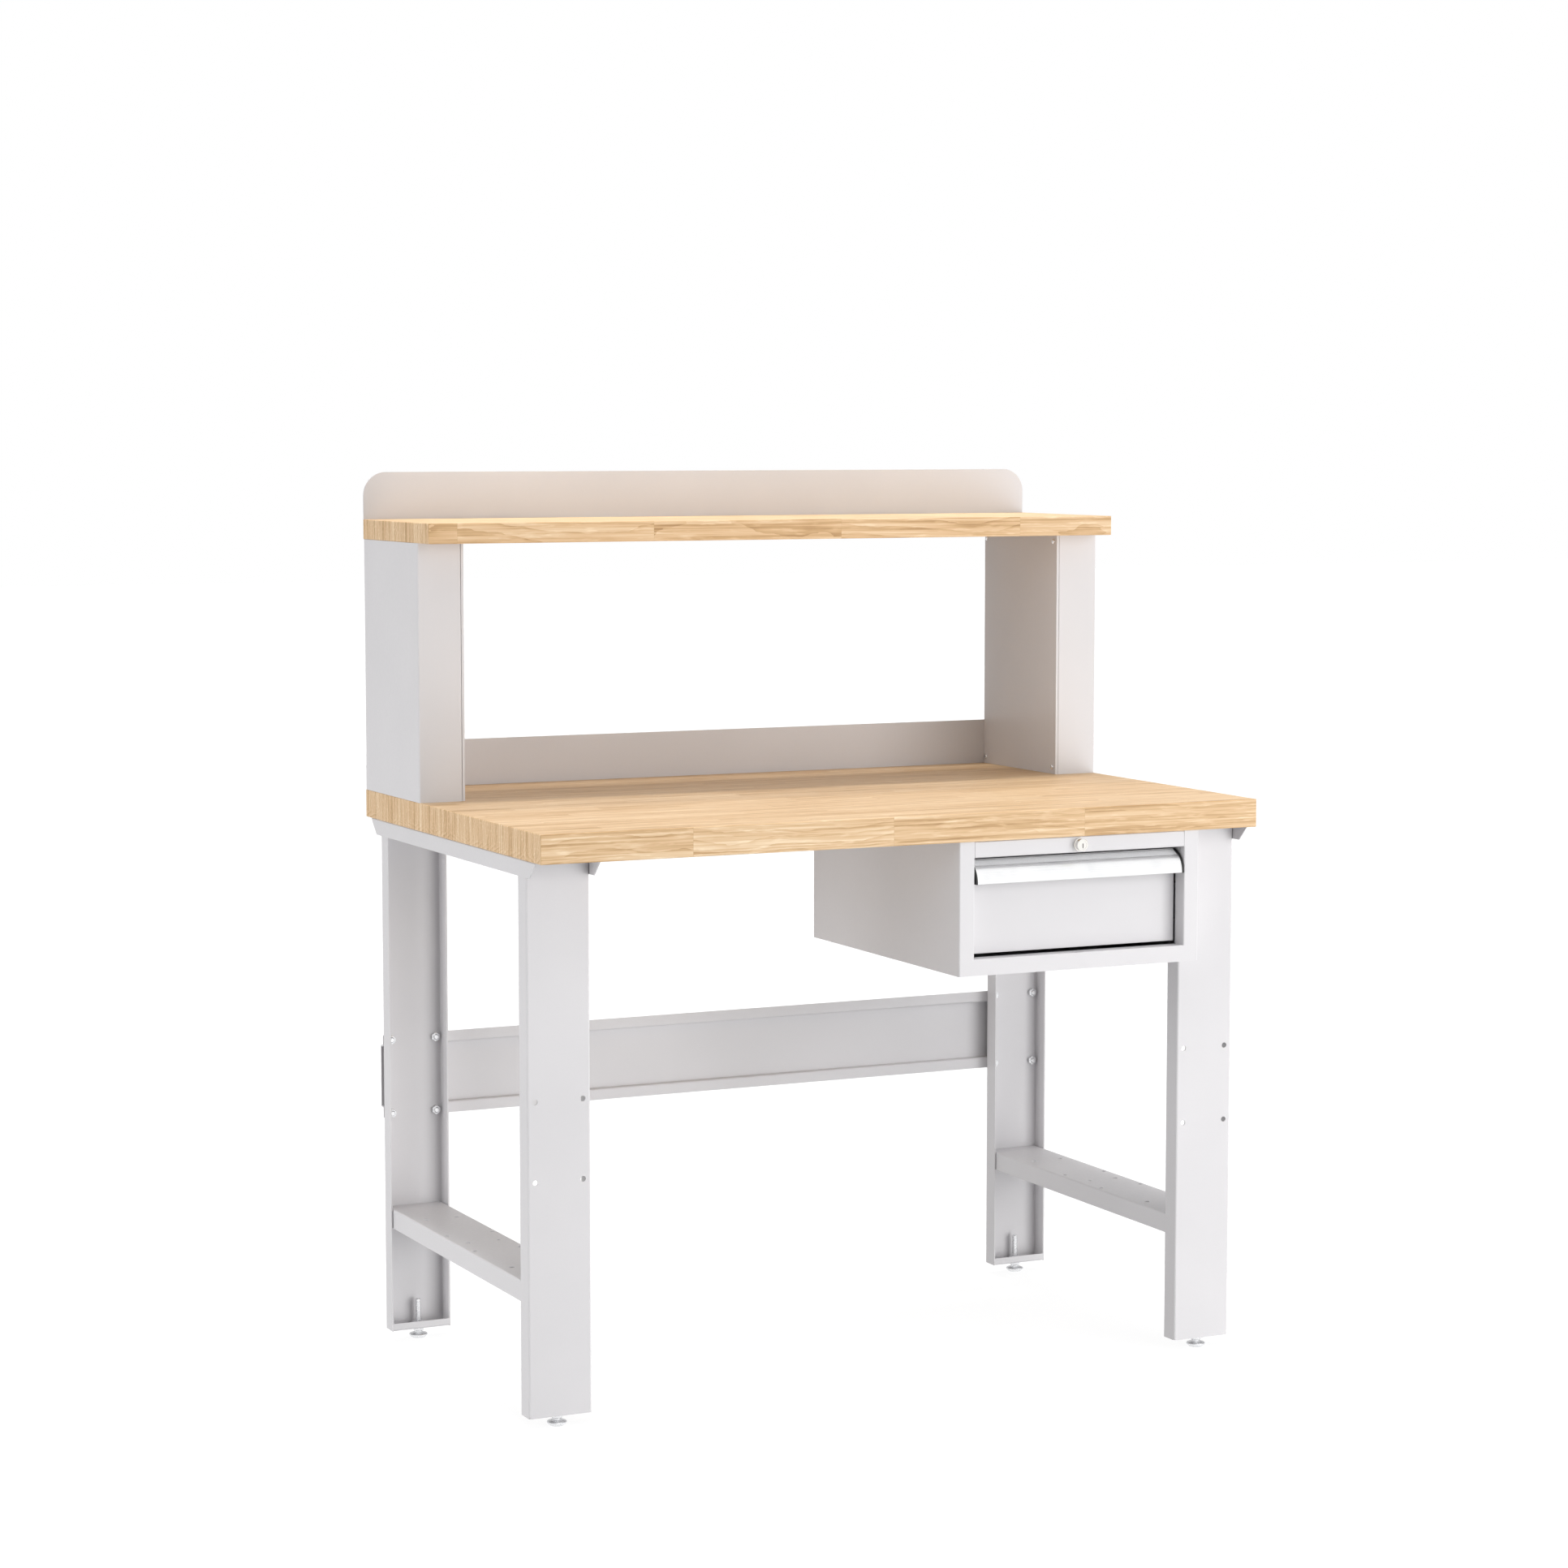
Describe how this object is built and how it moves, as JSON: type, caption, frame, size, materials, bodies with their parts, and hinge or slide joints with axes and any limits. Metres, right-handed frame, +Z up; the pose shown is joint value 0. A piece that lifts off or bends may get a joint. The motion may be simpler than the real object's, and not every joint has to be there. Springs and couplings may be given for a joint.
{
  "type": "workbench with drawer",
  "caption": "Steel-legged workbench with a laminated wood worktop, a raised rear shelf with stops, and a lockable drawer under the worktop.",
  "frame": {"origin": "on the floor, under the middle of the worktop", "axes": "+Z up, +X to the right seen from the front, +Y towards the back; the drawer opens along -Y"},
  "size_m": [1.219, 0.775, 1.4085],
  "materials": {
    "butcher_block": "pale laminated hardwood, clear satin lacquer",
    "powder_coat": "light grey powder coat, fine texture, satin",
    "anodised_aluminium": "clear anodised, satin",
    "black_plastic": "black moulded plastic",
    "black_rubber": "black rubber",
    "label_card": "blank label strip under clear plastic",
    "nickel": "bright nickel plate",
    "slide_steel": "zinc plated rolled steel",
    "zinc": "bright zinc plate"
  },
  "bodies": {
    "bench": {"worktop": "butcher_block", "shelf": "butcher_block", "front_left_post": "powder_coat", "front_right_post": "powder_coat", "rear_left_post": "powder_coat", "rear_right_post": "powder_coat", "left_crossbar": "powder_coat", "right_crossbar": "powder_coat", "left_foot_rail": "powder_coat", "right_foot_rail": "powder_coat", "rear_stringer": "powder_coat", "stringer_bolts": "zinc", "stringer_nuts": "zinc", "worktop_screws": "zinc", "left_riser": "powder_coat", "right_riser": "powder_coat", "left_riser_cover": "powder_coat", "right_riser_cover": "powder_coat", "riser_cover_screws": "zinc", "riser_fixing_screws": "zinc", "upper_stop": "powder_coat", "lower_stop": "powder_coat", "stop_screws": "zinc", "cabinet_shell": "powder_coat", "cabinet_back": "powder_coat", "cabinet_top_rail": "powder_coat", "cabinet_screws": "zinc", "left_slide_bracket": "powder_coat", "right_slide_bracket": "powder_coat", "left_slide_outer": "slide_steel", "right_slide_outer": "slide_steel", "lock_body": "nickel", "lock_nut": "nickel", "drawer_bumpers": "black_rubber", "glide_nuts": "zinc"},
    "glide_front_left": {"front_left_glide_stud": "zinc", "front_left_glide_pad": "zinc"},
    "glide_front_right": {"front_right_glide_stud": "zinc", "front_right_glide_pad": "zinc"},
    "glide_rear_left": {"rear_left_glide_stud": "zinc", "rear_left_glide_pad": "zinc"},
    "glide_rear_right": {"rear_right_glide_stud": "zinc", "rear_right_glide_pad": "zinc"},
    "drawer": {"drawer_box": "powder_coat", "drawer_front": "powder_coat", "handle": "anodised_aluminium", "left_handle_cap": "black_plastic", "right_handle_cap": "black_plastic", "label_strip": "label_card", "handle_screws": "zinc", "left_slide_inner": "slide_steel", "right_slide_inner": "slide_steel"},
    "left_middle_slide": {"left_slide_middle": "slide_steel"},
    "right_middle_slide": {"right_slide_middle": "slide_steel"},
    "outer_cages": {"outer_ball_cages": "slide_steel"},
    "inner_cages": {"inner_ball_cages": "slide_steel"},
    "lock": {"lock_plug": "nickel", "lock_cam": "slide_steel", "lock_cam_screw": "nickel"}
  },
  "joints": [
    {"name": "drawer_travel", "type": "slide", "parent": "bench", "child": "drawer", "axis": [0, -1, 0], "range_m": [0, 0.43]},
    {"name": "left_middle_travel", "type": "slide", "parent": "bench", "child": "left_middle_slide", "axis": [0, -1, 0], "range_m": [0, 0.215]},
    {"name": "right_middle_travel", "type": "slide", "parent": "bench", "child": "right_middle_slide", "axis": [0, -1, 0], "range_m": [0, 0.215]},
    {"name": "outer_cages_travel", "type": "slide", "parent": "bench", "child": "outer_cages", "axis": [0, -1, 0], "range_m": [0, 0.1075]},
    {"name": "inner_cages_travel", "type": "slide", "parent": "bench", "child": "inner_cages", "axis": [0, -1, 0], "range_m": [0, 0.3225]},
    {"name": "lock_turn", "type": "hinge", "parent": "bench", "child": "lock", "pos_m": [0.2883, -0.3467, 0.8371], "axis": [0, 1, 0], "range_deg": [0, 90]},
    {"name": "front_left_levelling", "type": "slide", "parent": "bench", "child": "glide_front_left", "axis": [0, 0, -1], "range_m": [0, 0.03]},
    {"name": "front_right_levelling", "type": "slide", "parent": "bench", "child": "glide_front_right", "axis": [0, 0, -1], "range_m": [0, 0.03]},
    {"name": "rear_left_levelling", "type": "slide", "parent": "bench", "child": "glide_rear_left", "axis": [0, 0, -1], "range_m": [0, 0.03]},
    {"name": "rear_right_levelling", "type": "slide", "parent": "bench", "child": "glide_rear_right", "axis": [0, 0, -1], "range_m": [0, 0.03]}
  ],
  "couplings": [
    {"joint": "left_middle_travel", "follows": "drawer_travel", "ratio": 0.5},
    {"joint": "right_middle_travel", "follows": "drawer_travel", "ratio": 0.5},
    {"joint": "outer_cages_travel", "follows": "drawer_travel", "ratio": 0.25},
    {"joint": "inner_cages_travel", "follows": "drawer_travel", "ratio": 0.75}
  ]
}
